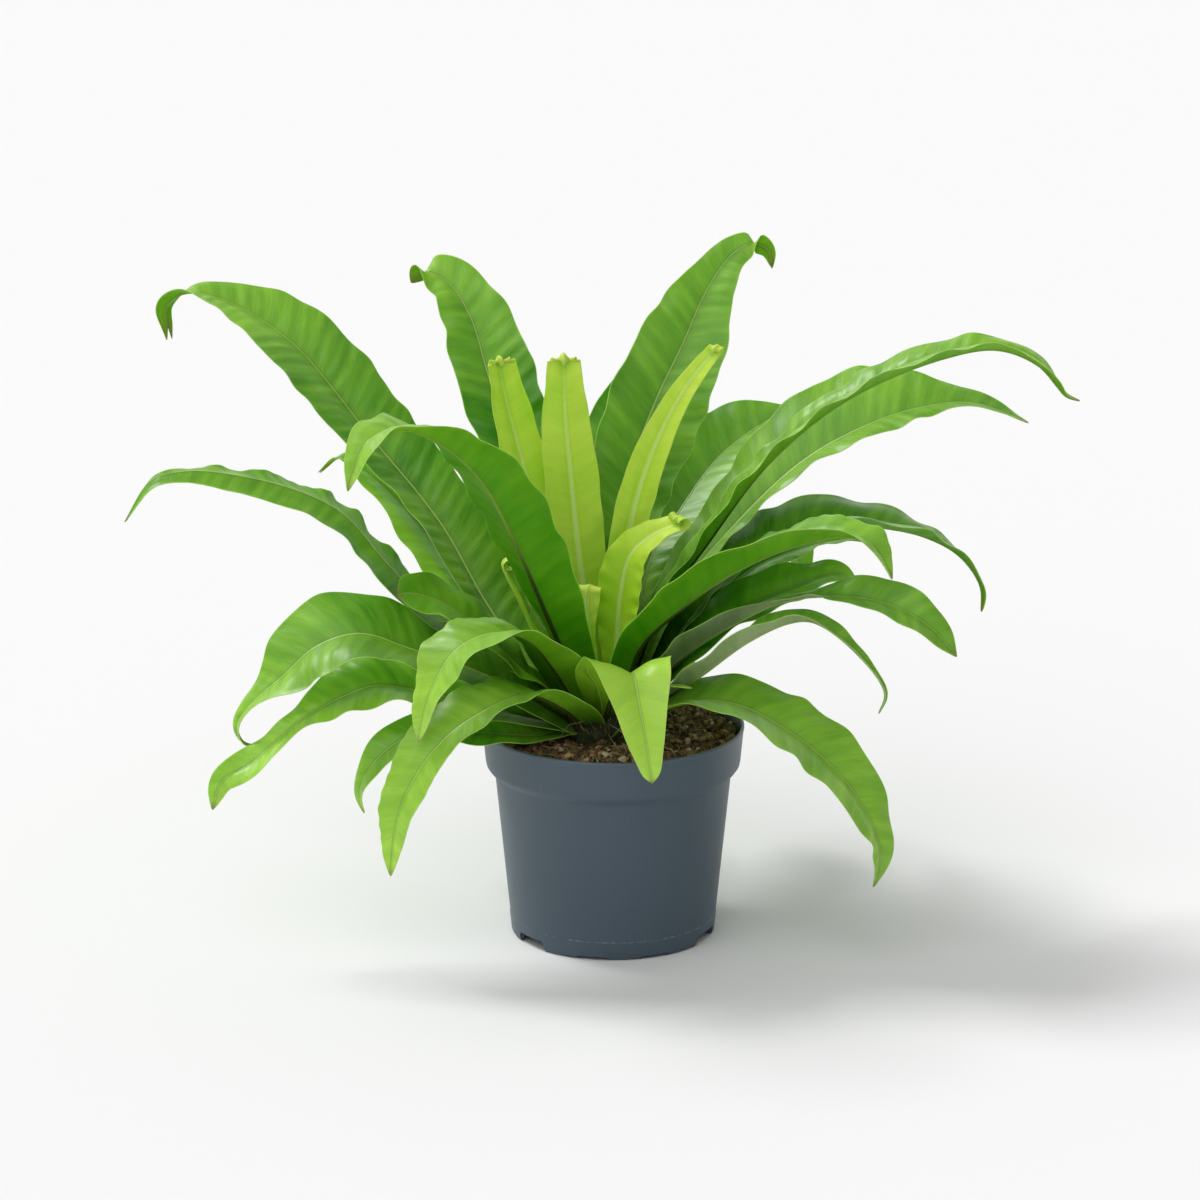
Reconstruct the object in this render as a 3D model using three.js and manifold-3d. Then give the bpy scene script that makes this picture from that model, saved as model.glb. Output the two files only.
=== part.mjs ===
// A Japanese bird's nest fern in a round nursery pot: a rosette of long wavy strap fronds on a short
// crown, rooted in peat. Millimetres, +Z up. The origin is the middle of the pot's underside and the
// front of the plant faces -Y.
import * as THREE from "three";
import { mergeVertices } from "three/addons/utils/BufferGeometryUtils.js";
import Module from "manifold-3d";

// Pot
const RIM_RADIUS = 66;
const POT_HEIGHT = 108;
const BASE_RADIUS = 51.4;
const SHOULDER_RADIUS = 59.5;
const SHOULDER_HEIGHT = 83;
const BAND_HEIGHT = 21;
const BAND_FOOT_RADIUS = 63.8;
const WALL = 1.6;
const LIP = 0.7;
const BAND_EDGE = 2;
const BAND_FLARE = 0.7;
const FOOT_EDGE = 1;
const DRAFT = 1;
const FLOOR_HEIGHT = 5;
const FLOOR_THICKNESS = 1.8;
const PAD_RADIUS = 30;
const POT_SIDES = 56;
const DRAIN_COUNT = 3;
const DRAIN_FIRST_DEG = -144;
const DRAIN_WIDTH = 20;
const DRAIN_RISE = 4.8;
const STEP_WIDTH = 15;
const STEP_RISE = 1.2;
const STEP_OFFSET_DEG = 18;
const DRAIN_HOLE_RADIUS = 4;
const DRAIN_HOLE_RING = 40;
const DRAIN_HOLE_COUNT = 6;
const DRAIN_HOLE_SIDES = 10;
const NOTCH_DEPTH = 4;

// Soil and crown
const SOIL_TOP = 103;
const SOIL_CREST = 104;
const SOIL_EDGE = 1.5;
const SOIL_CLEARANCE = 0.4;
const SOIL_SIDES = 40;
const CROWN_CENTRE = new THREE.Vector3(-5, 0, 104);
const CROWN_RADIUS = 23;
const CROWN_SIDES = 24;
const CROWN_RINGS = 7;
const FROND_ROOT = 4;
const GAP = 0.3;

// Fronds
const FROND_STEPS = 18;
const FROND_THICKNESS = 1.2;
const MARGIN_THICKNESS = 0.5;
const FOLD_DEG = 22;
const CROZIER_TURN_DEG = 300;
const CROZIER_STEPS = 9;
const CROZIER_CLOSING = 0.35;

// Outlines: the blade's width from crown to tip, as shares of its greatest width
const MATURE = [0.13, 0.38, 0.78, 1, 0.98, 0.82, 0.5, 0.1];
const TAILED = [0.13, 0.4, 0.85, 1, 0.85, 0.5, 0.22, 0.08];
const YOUNG = [0.3, 0.6, 0.95, 1, 0.9, 0.68];

// Each frond: the side of the crown that it grows from (bearing, and rise over the horizon), the
// points that its midrib passes through, its greatest width and its outline. facing is the bearing
// that the blade turns its back to, where that isn't the seat's. roll turns the blade about its
// midrib, evenly spread from crown to tip, and fold is the rise of each half.
const FRONDS = {
  // Upright inner fronds that are still unrolling
  young_frond_middle: {
    seat: [98, 78], facing: 95, width: 28, outline: YOUNG, fold: 12, crozier: 6,
    along: [[-11, 11, 147], [-13, 13, 162], [-17, 17, 190], [-21, 21, 229.5], [-24, 24, 261.5],
      [-25, 26, 290.5]],
  },
  young_frond_left: {
    seat: [140, 64], facing: 120, width: 27, outline: YOUNG, fold: 20, crozier: 5,
    along: [[-29.5, 16, 177], [-38, 24, 209], [-47, 31, 241], [-54, 36, 267], [-58, 38, 286]],
  },
  young_frond_right: {
    seat: [40, 70], facing: 78, width: 19, outline: YOUNG, fold: 24, crozier: 4,
    along: [[3, 5, 162], [5, 8, 186.5], [11, 13, 218.5], [22, 18, 250.5], [36, 22, 276.5], [51, 25, 295.5]],
  },
  young_frond_bent: {
    seat: [-20, 70], facing: 60, width: 25, outline: [0.3, 0.6, 0.95, 1, 0.75, 0.35], fold: 20,
    crozier: 4,
    along: [[2, -4, 152.5], [4, -5, 178.5], [9, -6, 198.5], [20, -6, 208.5], [33, -6, 214]],
  },
  crozier_middle: {
    seat: [-110, 72], width: 7, outline: YOUNG, fold: 20, crozier: 3,
    along: [[-11, -9, 146.5], [-13, -10, 164.5], [-13, -10, 179.5]],
  },
  crozier_left: {
    seat: [180, 64], width: 5, outline: YOUNG, fold: 20, crozier: 2.5,
    along: [[-36, -2, 152.5], [-45, -4, 172.5], [-52, -5, 187.5]],
  },

  // Tall fronds of the back
  tall_frond_left: {
    seat: [152, 58], facing: 128, width: 49, outline: [0.13, 0.38, 0.68, 0.78, 0.92, 1, 0.7, 0.12],
    along: [[-55, 25, 150.5], [-88, 50, 199.5], [-123, 70, 238.5], [-164, 88, 284], [-197, 97, 303],
      [-217, 98, 306.5], [-227, 97, 300.5], [-229, 96, 289]],
  },
  tall_frond_back_left: {
    seat: [118, 50], facing: 96, width: 47, outline: [0.13, 0.32, 0.55, 0.72, 0.98, 1, 0.7, 0.12],
    along: [[-41, 46, 201.5], [-52, 62, 233.5], [-64, 80, 270.5], [-73, 92, 297], [-84, 100, 312],
      [-98, 104, 318], [-107, 104, 315]],
  },
  tall_frond_back_right: {
    seat: [74, 48], facing: 92, width: 48, outline: [0.13, 0.35, 0.66, 0.88, 1, 0.9, 0.45, 0.1],
    along: [[-1, 28, 186], [7, 46, 222.5], [22, 62, 260.5], [35, 74, 285.5], [49, 88, 313.5],
      [62, 96, 329], [72, 98, 333], [79, 98, 329], [81, 97, 320]],
  },
  frond_behind_middle: {
    seat: [84, 30], facing: 98, width: 42, outline: MATURE,
    along: [[-3, 60, 179], [1, 83, 225], [9, 97, 253], [22, 105, 274.5], [34, 111, 282.5]],
  },
  frond_back_right: {
    seat: [40, 44], facing: 75, width: 54, outline: [0.1, 0.26, 0.62, 0.86, 1, 1, 0.8, 0.2],
    along: [[19, 40, 182.5], [34, 60, 202.5], [52, 80, 223], [68, 92, 234], [83, 100, 241.5],
      [91, 104, 245.5]],
  },

  // Long fronds of the sides
  long_frond_right: {
    seat: [4, 56], width: 46, outline: [0.12, 0.32, 0.66, 0.68, 0.68, 0.8, 0.5, 0.1], fold: 40,
    along: [[23, -2, 167.5], [46, 0, 201.5], [78, 4, 243.5], [117, 6, 275], [164, 8, 295], [191, 9, 299],
      [211, 9, 291], [230, 8, 272]],
  },
  frond_right_under: {
    seat: [22, 42], width: 54, outline: [0.12, 0.34, 0.64, 0.8, 1, 0.85, 0.28, 0.07], fold: 35,
    along: [[34, 17, 172], [54, 26, 196], [94, 39, 233], [127, 48, 250], [155, 56, 257.5],
      [182, 62, 258.5], [211, 65, 247.5]],
  },
  frond_left_under: {
    seat: [162, 40], facing: 138, width: 34, outline: MATURE, fold: 12,
    along: [[-56, 26, 148.5], [-83, 44, 178.5], [-103, 56, 201.5], [-123, 66, 219.5], [-139, 70, 228],
      [-146, 70, 223]],
  },
  long_frond_left: {
    seat: [186, 46], width: 36, outline: [0.13, 0.5, 0.8, 0.64, 0.62, 0.6, 0.35, 0.08],
    roll: [0, -25, -35, -20],
    along: [[-65, 3, 147], [-98, 0, 175.5], [-116, -8, 198.5], [-133, -18, 222], [-153, -26, 235.5],
      [-183, -32, 245.5], [-210, -38, 249.5], [-227, -42, 245.5], [-240, -45, 225.5]],
  },
  inner_frond_left: {
    seat: [208, 58], facing: 234, width: 52, outline: MATURE, fold: 28,
    along: [[-31, -22, 167], [-49, -38, 214.5], [-65, -52, 249], [-84, -66, 270.5], [-103, -80, 281.5],
      [-118, -92, 279], [-128, -100, 256]],
  },
  broad_frond_right: {
    seat: [-34, 46], width: 50, outline: [0.12, 0.2, 0.66, 1, 0.98, 0.82, 0.5, 0.1], fold: 40,
    along: [[13, -19, 152.5], [38, -29, 180], [62, -36, 198.5], [87, -42, 211.5], [111, -46, 218.5],
      [126, -50, 215.5], [137, -53, 198.5]],
  },

  // Lower fronds of the right
  tailed_frond_right: {
    seat: [14, 30], width: 52, outline: [0.1, 0.3, 0.7, 0.95, 1, 0.82, 0.28, 0.12], fold: 30,
    along: [[44, 8, 167], [74, 16, 193], [104, 24, 205], [134, 30, 202], [157, 34, 196],
      [175, 36, 185.5], [186, 37, 169.5], [187, 37, 155.5]],
  },
  low_frond_back_right: {
    seat: [36, 22], width: 34, outline: MATURE,
    along: [[44, 28, 155.5], [69, 40, 176.5], [94, 47, 185.5], [120, 52, 189.5], [130, 54, 187.5]],
  },
  frond_right_middle: {
    seat: [-2, 24], width: 36, outline: [0.12, 0.35, 0.75, 1, 1, 0.9, 0.65, 0.14], roll: [0, 20, 25, 20],
    along: [[44, 0, 151.5], [66, 4, 167.5], [94, 8, 178.5], [113, 10, 183.5], [123, 11, 178]],
  },
  twisted_frond_right: {
    seat: [-18, 32], width: 40, outline: [0.12, 0.45, 0.9, 0.95, 0.18, 0.42, 0.68, 0.55, 0.12],
    roll: [0, -10, -10, 25, 35], fold: 30,
    along: [[33, -16, 146.5], [58, -22, 166], [85, -26, 180], [112, -29, 183], [137, -34, 180],
      [156, -38, 170], [170, -40, 155]],
  },
  thin_frond_right: {
    seat: [-26, 30], width: 26, outline: TAILED, fold: 45,
    along: [[42, -32, 142.5], [67, -42, 164], [87, -46, 174.5], [99, -49, 175.5], [121, -53, 159.5],
      [134, -56, 141], [131, -57, 130.5]],
  },
  front_frond_right: {
    seat: [-60, 8], facing: -26, width: 46, outline: MATURE, roll: [0, 6, 12, 10],
    along: [[21, -29, 122.5], [43, -34, 130.5], [63, -38, 129], [83, -45, 120.5], [102, -52, 108],
      [121, -60, 88], [132, -66, 62], [129, -68, 44]],
  },

  // Lower fronds of the front and left
  front_frond: {
    seat: [-86, 32], width: 46, outline: [0.13, 0.5, 0.95, 1, 0.85, 0.65, 0.45, 0.14], fold: 30,
    along: [[0, -36, 134], [7, -52, 149.5], [10, -66, 152.5], [13, -78, 139.5], [16, -84, 124.5],
      [19, -86, 104]],
  },
  tiny_frond: {
    seat: [-66, 30], width: 5, outline: [0.5, 0.8, 1, 0.9, 0.4], fold: 20,
    along: [[13, -38, 133.5], [27, -44, 141], [39, -46, 141]],
  },
  front_frond_left: {
    seat: [226, 36], facing: 222, width: 40, outline: MATURE, fold: 18,
    along: [[-28, -26, 142.5], [-44, -42, 166], [-62, -56, 171.5], [-78, -66, 165.5], [-90, -72, 145.5],
      [-96, -74, 121.5]],
  },
  low_front_frond_left: {
    seat: [240, 22], facing: 236, width: 36, outline: MATURE,
    along: [[-26, -36, 128], [-41, -46, 137.5], [-58, -58, 135.5], [-80, -68, 124], [-96, -74, 106],
      [-106, -78, 84], [-110, -80, 54]],
  },
  low_frond_left: {
    seat: [222, 10], facing: 212, width: 26, outline: MATURE, roll: [0, -25, -20, 0],
    along: [[-37, -27, 110], [-66, -38, 115], [-91, -41, 117], [-107, -45, 112.5], [-121, -47, 99],
      [-126, -48, 87], [-124, -48, 76]],
  },
  looped_frond_left: {
    seat: [202, 24], width: 54, outline: [0.12, 0.24, 0.62, 0.92, 0.97, 0.78, 0.25, 0.1],
    roll: [0, -15, -25, 0],
    along: [[-67, -20, 141], [-101, -26, 155], [-126, -30, 164], [-147, -32, 158], [-164, -34, 143],
      [-181, -36, 128], [-187, -37, 118], [-184, -38, 110], [-177, -38, 108]],
  },
  twisted_frond_left: {
    seat: [206, 14], width: 46, outline: [0.13, 0.42, 0.82, 1, 0.75, 0.3, 0.38, 0.1],
    roll: [0, -20, -20, -20, -60],
    along: [[-62, -20, 122.5], [-101, -28, 134.5], [-118, -33, 138], [-136, -37, 132.5], [-155, -42, 122.5],
      [-170, -46, 110.5], [-180, -49, 102], [-194, -51, 94], [-199, -52, 79]],
  },
  short_frond_left: {
    seat: [214, 36], width: 42, outline: [0.1, 0.3, 0.75, 1, 1, 0.9, 0.6, 0.14],
    roll: [0, -30, -30], fold: 12,
    along: [[-47, -17, 142.5], [-69, -21, 163], [-86, -21, 173], [-100, -24, 176], [-107, -26, 173]],
  },

  // Lower fronds of the back, which the front view hides
  back_frond_right: {
    seat: [54, 20], width: 42, outline: MATURE,
    along: [[36, 52, 146], [60, 84, 172.5], [80, 112, 177], [94, 136, 161.5], [102, 152, 134]],
  },
  back_frond_middle: {
    seat: [92, 14], width: 44, outline: MATURE,
    along: [[0, 62, 146], [6, 102, 178.5], [10, 142, 189.5], [14, 176, 176.5], [16, 196, 145]],
  },
  back_frond_left: {
    seat: [116, 22], width: 42, outline: MATURE,
    along: [[-30, 58, 144], [-48, 94, 172.5], [-64, 128, 179], [-76, 154, 162], [-84, 170, 132.5]],
  },
  low_back_frond_left: {
    seat: [142, 16], width: 40, outline: MATURE,
    along: [[-44, 36, 127], [-68, 58, 140.5], [-88, 78, 140.5], [-104, 94, 127.5], [-114, 104, 104]],
  },
  low_back_frond_right: {
    seat: [72, 4], width: 38, outline: MATURE,
    along: [[12, 60, 119.5], [20, 92, 131.5], [28, 120, 124], [34, 140, 102], [37, 150, 78]],
  },
};

const COLOURS = {
  pot: 0x4b5862,
  soil: 0x3a2a1e,
  crown: 0x2e3a16,
  young: 0x9ccc2e,
  mature: 0x4f9a1c,
};

const wasm = await Module();
wasm.setup();

const radians = THREE.MathUtils.degToRad;
const UP = new THREE.Vector3(0, 0, 1);

function solidOf(geometry) {
  const bare = geometry.clone();
  bare.deleteAttribute("normal");
  bare.deleteAttribute("uv");
  const merged = mergeVertices(bare, 1e-4);
  const mesh = new wasm.Mesh({
    numProp: 3,
    vertProperties: Float32Array.from(merged.attributes.position.array),
    triVerts: Uint32Array.from(merged.index.array),
  });
  return new wasm.Manifold(mesh);
}

function geometryOf(solid) {
  const mesh = solid.getMesh();
  const geometry = new THREE.BufferGeometry();
  geometry.setAttribute("position", new THREE.Float32BufferAttribute(mesh.vertProperties, 3));
  geometry.setIndex(Array.from(mesh.triVerts));
  geometry.computeVertexNormals();
  return geometry;
}

// A profile of [radius, height] pairs turned about the Z axis
function turned(profile, sides) {
  const points = profile.map(([radius, height]) => new THREE.Vector2(radius, height));
  return new THREE.LatheGeometry(points, sides).rotateX(Math.PI / 2);
}

function onAxisDirection(bearingDeg, riseDeg) {
  const bearing = radians(bearingDeg);
  const rise = radians(riseDeg);
  return new THREE.Vector3(
    Math.cos(bearing) * Math.cos(rise),
    Math.sin(bearing) * Math.cos(rise),
    Math.sin(rise),
  );
}

// The pot's wall tapers to the foot and carries a band under the lip. Its floor stands on a flat pad
// in the middle, with a raised ring round it where the drain holes are.
function wallRadius(height) {
  return THREE.MathUtils.mapLinear(height, 0, SHOULDER_HEIGHT, BASE_RADIUS, SHOULDER_RADIUS);
}

function potGeometry() {
  const bandFoot = POT_HEIGHT - BAND_HEIGHT;
  const floorTop = FLOOR_HEIGHT + FLOOR_THICKNESS;
  const skirtInside = BASE_RADIUS - WALL;
  const profile = [
    [0, 0],
    [PAD_RADIUS, 0],
    [PAD_RADIUS + DRAFT, FLOOR_HEIGHT],
    [skirtInside - DRAFT, FLOOR_HEIGHT],
    [skirtInside, 0],
    [BASE_RADIUS - FOOT_EDGE, 0],
    [BASE_RADIUS, FOOT_EDGE],
    [SHOULDER_RADIUS, SHOULDER_HEIGHT],
    [SHOULDER_RADIUS + WALL, bandFoot - BAND_EDGE],
    [BAND_FOOT_RADIUS, bandFoot + BAND_EDGE / 2],
    [BAND_FOOT_RADIUS + BAND_FLARE, bandFoot + BAND_EDGE * 1.5],
    [RIM_RADIUS, POT_HEIGHT - LIP],
    [RIM_RADIUS - LIP, POT_HEIGHT],
    [RIM_RADIUS - WALL, POT_HEIGHT],
    [RIM_RADIUS - WALL - LIP, POT_HEIGHT - LIP],
    [BAND_FOOT_RADIUS - WALL, bandFoot + BAND_EDGE],
    [SHOULDER_RADIUS - WALL, SHOULDER_HEIGHT],
    [wallRadius(floorTop) - WALL, floorTop],
    [PAD_RADIUS, floorTop],
    [PAD_RADIUS - DRAFT, FLOOR_THICKNESS],
    [0, FLOOR_THICKNESS],
  ];
  let pot = solidOf(turned(profile, POT_SIDES));
  for (const cutter of drainCutters()) {
    pot = pot.subtract(solidOf(cutter));
  }
  return geometryOf(pot);
}

// Notches through the foot for the water, a shallow step on each side of each foot, and holes in
// the raised ring
function drainCutters() {
  const cutters = [];
  const notch = (bearingDeg, width, rise) => {
    const box = new THREE.BoxGeometry(NOTCH_DEPTH * 2, width, rise * 2);
    box.translate(BASE_RADIUS, 0, 0);
    cutters.push(box.rotateZ(radians(bearingDeg)));
  };
  const pitch = 360 / DRAIN_COUNT;
  for (let i = 0; i < DRAIN_COUNT; i += 1) {
    const drain = DRAIN_FIRST_DEG + i * pitch;
    const foot = drain + pitch / 2;
    notch(drain, DRAIN_WIDTH, DRAIN_RISE);
    notch(foot - STEP_OFFSET_DEG, STEP_WIDTH, STEP_RISE);
    notch(foot + STEP_OFFSET_DEG, STEP_WIDTH, STEP_RISE);
  }
  for (let i = 0; i < DRAIN_HOLE_COUNT; i += 1) {
    const hole = new THREE.CylinderGeometry(
      DRAIN_HOLE_RADIUS, DRAIN_HOLE_RADIUS, FLOOR_THICKNESS * 3, DRAIN_HOLE_SIDES,
    );
    hole.rotateX(Math.PI / 2);
    hole.translate(DRAIN_HOLE_RING, 0, FLOOR_HEIGHT + FLOOR_THICKNESS / 2);
    cutters.push(hole.rotateZ(radians((i * 360) / DRAIN_HOLE_COUNT)));
  }
  return cutters;
}

// Peat that fills the pot to a little under the lip and rises slightly towards the crown
function soilGeometry() {
  const inside = WALL + SOIL_CLEARANCE;
  const floorTop = FLOOR_HEIGHT + FLOOR_THICKNESS + GAP;
  const bandFoot = POT_HEIGHT - BAND_HEIGHT;
  const wellRadius = PAD_RADIUS - DRAFT - SOIL_CLEARANCE;
  return turned([
    [0, FLOOR_THICKNESS + GAP],
    [wellRadius, FLOOR_THICKNESS + GAP],
    [wellRadius + DRAFT, floorTop],
    [wallRadius(floorTop) - inside, floorTop],
    [SHOULDER_RADIUS - inside, SHOULDER_HEIGHT],
    [BAND_FOOT_RADIUS - inside, bandFoot + BAND_EDGE],
    [BAND_FOOT_RADIUS - inside + BAND_FLARE, SOIL_TOP - SOIL_EDGE],
    [BAND_FOOT_RADIUS - inside - SOIL_EDGE, SOIL_TOP],
    [CROWN_RADIUS * 1.6, (SOIL_TOP + SOIL_CREST) / 2],
    [CROWN_RADIUS * 1.3, SOIL_CREST],
    [0, SOIL_CREST],
  ], SOIL_SIDES);
}

// The crown: the short dome of rhizome and leaf bases that all the fronds grow from
function crownProfile(radius) {
  const foot = SOIL_CREST + GAP - CROWN_CENTRE.z;
  const start = Math.asin(foot / radius);
  const profile = [[0, foot]];
  for (let i = 0; i < CROWN_RINGS; i += 1) {
    const angle = THREE.MathUtils.lerp(start, Math.PI / 2, i / CROWN_RINGS);
    profile.push([radius * Math.cos(angle), radius * Math.sin(angle)]);
  }
  profile.push([0, radius]);
  return profile;
}

function crownGeometry(radius) {
  return turned(crownProfile(radius), CROWN_SIDES).translate(...CROWN_CENTRE);
}

// A value from a short list that is spread evenly over the frond's length
function spread(values, share) {
  const place = share * (values.length - 1);
  const i = Math.min(Math.floor(place), values.length - 2);
  const blend = THREE.MathUtils.smoothstep(place, i, i + 1);
  return THREE.MathUtils.lerp(values[i], values[i + 1], blend);
}

// The rolled tip of a young frond: a spiral that closes towards the blade's upper side
function crozierPoints(tip, ahead, inward, radius) {
  const centre = tip.clone().addScaledVector(inward, radius);
  const points = [];
  for (let i = 1; i <= CROZIER_STEPS; i += 1) {
    const share = i / CROZIER_STEPS;
    const angle = radians(CROZIER_TURN_DEG) * share;
    const reach = radius * (1 - CROZIER_CLOSING * share);
    points.push(centre.clone()
      .addScaledVector(inward, -reach * Math.cos(angle))
      .addScaledVector(ahead, reach * Math.sin(angle)));
  }
  return points;
}

// The blade is a strip with a ridge at the midrib: at each step two margins and the midrib, with an
// upper and a lower face
function frondGeometry(frond) {
  const [bearing, rise] = frond.seat;
  const start = CROWN_CENTRE.clone()
    .addScaledVector(onAxisDirection(bearing, rise), CROWN_RADIUS - FROND_ROOT);
  const knots = [start, ...frond.along.map((point) => new THREE.Vector3(...point))];
  const curve = new THREE.CatmullRomCurve3(knots, false, "centripetal");
  const facing = radians(frond.facing ?? bearing);
  const level = new THREE.Vector3(-Math.sin(facing), Math.cos(facing), 0);

  const spine = [];
  for (let i = 0; i <= FROND_STEPS; i += 1) {
    const share = i / FROND_STEPS;
    spine.push({ point: curve.getPointAt(share), ahead: curve.getTangentAt(share), share });
  }
  if (frond.crozier) {
    const tip = spine[FROND_STEPS];
    const inward = new THREE.Vector3().crossVectors(tip.ahead, level).normalize();
    const coil = crozierPoints(tip.point, tip.ahead, inward, frond.crozier);
    coil.forEach((point, i) => {
      const angle = radians(CROZIER_TURN_DEG) * ((i + 1) / CROZIER_STEPS);
      const ahead = tip.ahead.clone().multiplyScalar(Math.cos(angle))
        .addScaledVector(inward, Math.sin(angle));
      spine.push({ point, ahead, share: 1 });
    });
  }

  const vertices = [];
  for (const { point, ahead, share } of spine) {
    const flat = level.clone().addScaledVector(ahead, -level.dot(ahead)).normalize();
    const roll = radians(spread(frond.roll ?? [0, 0], share));
    const side = flat.applyAxisAngle(ahead, roll);
    const face = new THREE.Vector3().crossVectors(ahead, side).normalize();
    const half = (frond.width / 2) * spread(frond.outline, share);
    const fold = radians(frond.fold ?? FOLD_DEG);
    for (const hand of [-1, 0, 1]) {
      const rim = point.clone()
        .addScaledVector(side, hand * half * Math.cos(fold))
        .addScaledVector(face, Math.abs(hand) * half * Math.sin(fold));
      const thick = hand === 0 ? FROND_THICKNESS : MARGIN_THICKNESS;
      vertices.push(rim.clone().addScaledVector(face, thick / 2));
      vertices.push(rim.clone().addScaledVector(face, -thick / 2));
    }
  }

  const [leftTop, leftUnder, midTop, midUnder, rightTop, rightUnder] = [0, 1, 2, 3, 4, 5];
  const ring = [leftTop, leftUnder, midUnder, rightUnder, rightTop, midTop];
  const indices = [];
  const last = spine.length - 1;
  for (let i = 0; i < last; i += 1) {
    ring.forEach((a, k) => {
      const b = ring[(k + 1) % ring.length];
      const near = i * ring.length;
      const far = near + ring.length;
      indices.push(near + a, near + b, far + b, near + a, far + b, far + a);
    });
  }
  for (let k = 1; k < ring.length - 1; k += 1) {
    indices.push(ring[0], ring[k + 1], ring[k]);
    const end = last * ring.length;
    indices.push(end + ring[0], end + ring[k], end + ring[k + 1]);
  }
  const geometry = new THREE.BufferGeometry();
  const positions = vertices.flatMap((vertex) => vertex.toArray());
  geometry.setAttribute("position", new THREE.Float32BufferAttribute(positions, 3));
  geometry.setIndex(indices);
  return geometry;
}

const group = new THREE.Group();

function add(name, geometry, colour, roughness) {
  const material = new THREE.MeshStandardMaterial({ color: colour, roughness, metalness: 0 });
  const mesh = new THREE.Mesh(geometry, material);
  mesh.name = name;
  group.add(mesh);
}

add("pot", potGeometry(), COLOURS.pot, 0.45);
add("soil", soilGeometry(), COLOURS.soil, 0.95);
add("crown", crownGeometry(CROWN_RADIUS), COLOURS.crown, 0.9);

const seatCutter = solidOf(crownGeometry(CROWN_RADIUS + GAP));
for (const [name, frond] of Object.entries(FRONDS)) {
  const blade = solidOf(frondGeometry(frond)).subtract(seatCutter);
  const colour = frond.crozier ? COLOURS.young : COLOURS.mature;
  add(name, geometryOf(blade), colour, 0.4);
}

export default group;
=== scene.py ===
import math
import random

import bmesh
import bpy
from mathutils import Matrix, Vector, noise


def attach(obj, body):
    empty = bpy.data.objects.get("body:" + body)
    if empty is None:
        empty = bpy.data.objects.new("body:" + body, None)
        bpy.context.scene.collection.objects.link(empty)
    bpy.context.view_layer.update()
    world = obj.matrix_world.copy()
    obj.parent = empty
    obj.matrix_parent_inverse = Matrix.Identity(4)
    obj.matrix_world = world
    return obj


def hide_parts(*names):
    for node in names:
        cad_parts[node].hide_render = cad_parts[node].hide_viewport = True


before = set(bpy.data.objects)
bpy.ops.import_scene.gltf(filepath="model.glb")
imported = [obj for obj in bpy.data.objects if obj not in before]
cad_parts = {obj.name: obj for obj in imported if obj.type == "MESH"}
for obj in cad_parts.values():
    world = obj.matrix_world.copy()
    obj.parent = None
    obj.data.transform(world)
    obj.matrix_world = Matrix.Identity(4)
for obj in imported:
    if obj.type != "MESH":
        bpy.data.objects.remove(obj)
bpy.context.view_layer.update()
bpy.ops.object.select_all(action="DESELECT")

# The view: a camera three metres off with a long lens, looking a little down on the plant, which
# fills four fifths of the picture's width.
AIM = Vector((-0.0066, 0, 0.1726))
CAMERA_DISTANCE = 3.0
CAMERA_RISE = math.radians(16.2)
backwards = Vector((0, -math.cos(CAMERA_RISE), math.sin(CAMERA_RISE)))
bpy.ops.object.camera_add(
    location=AIM + backwards * CAMERA_DISTANCE, rotation=(math.pi / 2 - CAMERA_RISE, 0, 0)
)
camera = bpy.context.object
camera.data.lens = 180
camera.data.sensor_width = 36
camera.data.clip_end = 100
bpy.context.scene.camera = camera

# The pot: an injection-moulded nursery pot of thin slate grey polypropylene, drawn off its core, so
# that it tapers to the foot. It has a band under the lip and a foot notched for the water to drain.
MM = 0.001
POT_SIDES = 128
PAD_RADIUS = 30 * MM
SHARP_ANGLE = 0.6
POT_RINGS = [
    (31, 5), (48.8, 5), (49.8, 0), (50.6, 0), (51.4, 0.8), (52.35, 9.2), (52.1, 9.6), (59.5, 83),
    (60.1, 84.4), (62.4, 86), (63.8, 88), (64.2, 90), (65.75, 106.0), (66.0, 106.2),
    (66.05, 107.5), (65.6, 108), (64.9, 108), (64.4, 107.4), (62.3, 89), (60.4, 86.5),
    (57.9, 83), (50.4, 6.8), (30, 6.8), (29, 1.8),
]


def deselect_all():
    if bpy.context.object and bpy.context.object.mode == "EDIT":
        bpy.ops.object.mode_set(mode="OBJECT")
    bpy.ops.object.select_all(action="DESELECT")


def select_only(*things):
    deselect_all()
    for thing in things:
        thing.select_set(True)
    bpy.context.view_layer.objects.active = things[0]


def apply_modifier(thing, kind, **settings):
    select_only(thing)
    modifier = thing.modifiers.new(kind.title(), kind)
    for name, value in settings.items():
        setattr(modifier, name, value)
    bpy.ops.object.modifier_apply(modifier=modifier.name)


def hand_over(piece, name, slot, *nodes):
    select_only(piece)
    bpy.ops.object.transform_apply(location=True, rotation=True, scale=True)
    piece.name = name
    piece.data.name = name
    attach(piece, "root")
    if nodes:
        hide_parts(*nodes)


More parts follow.
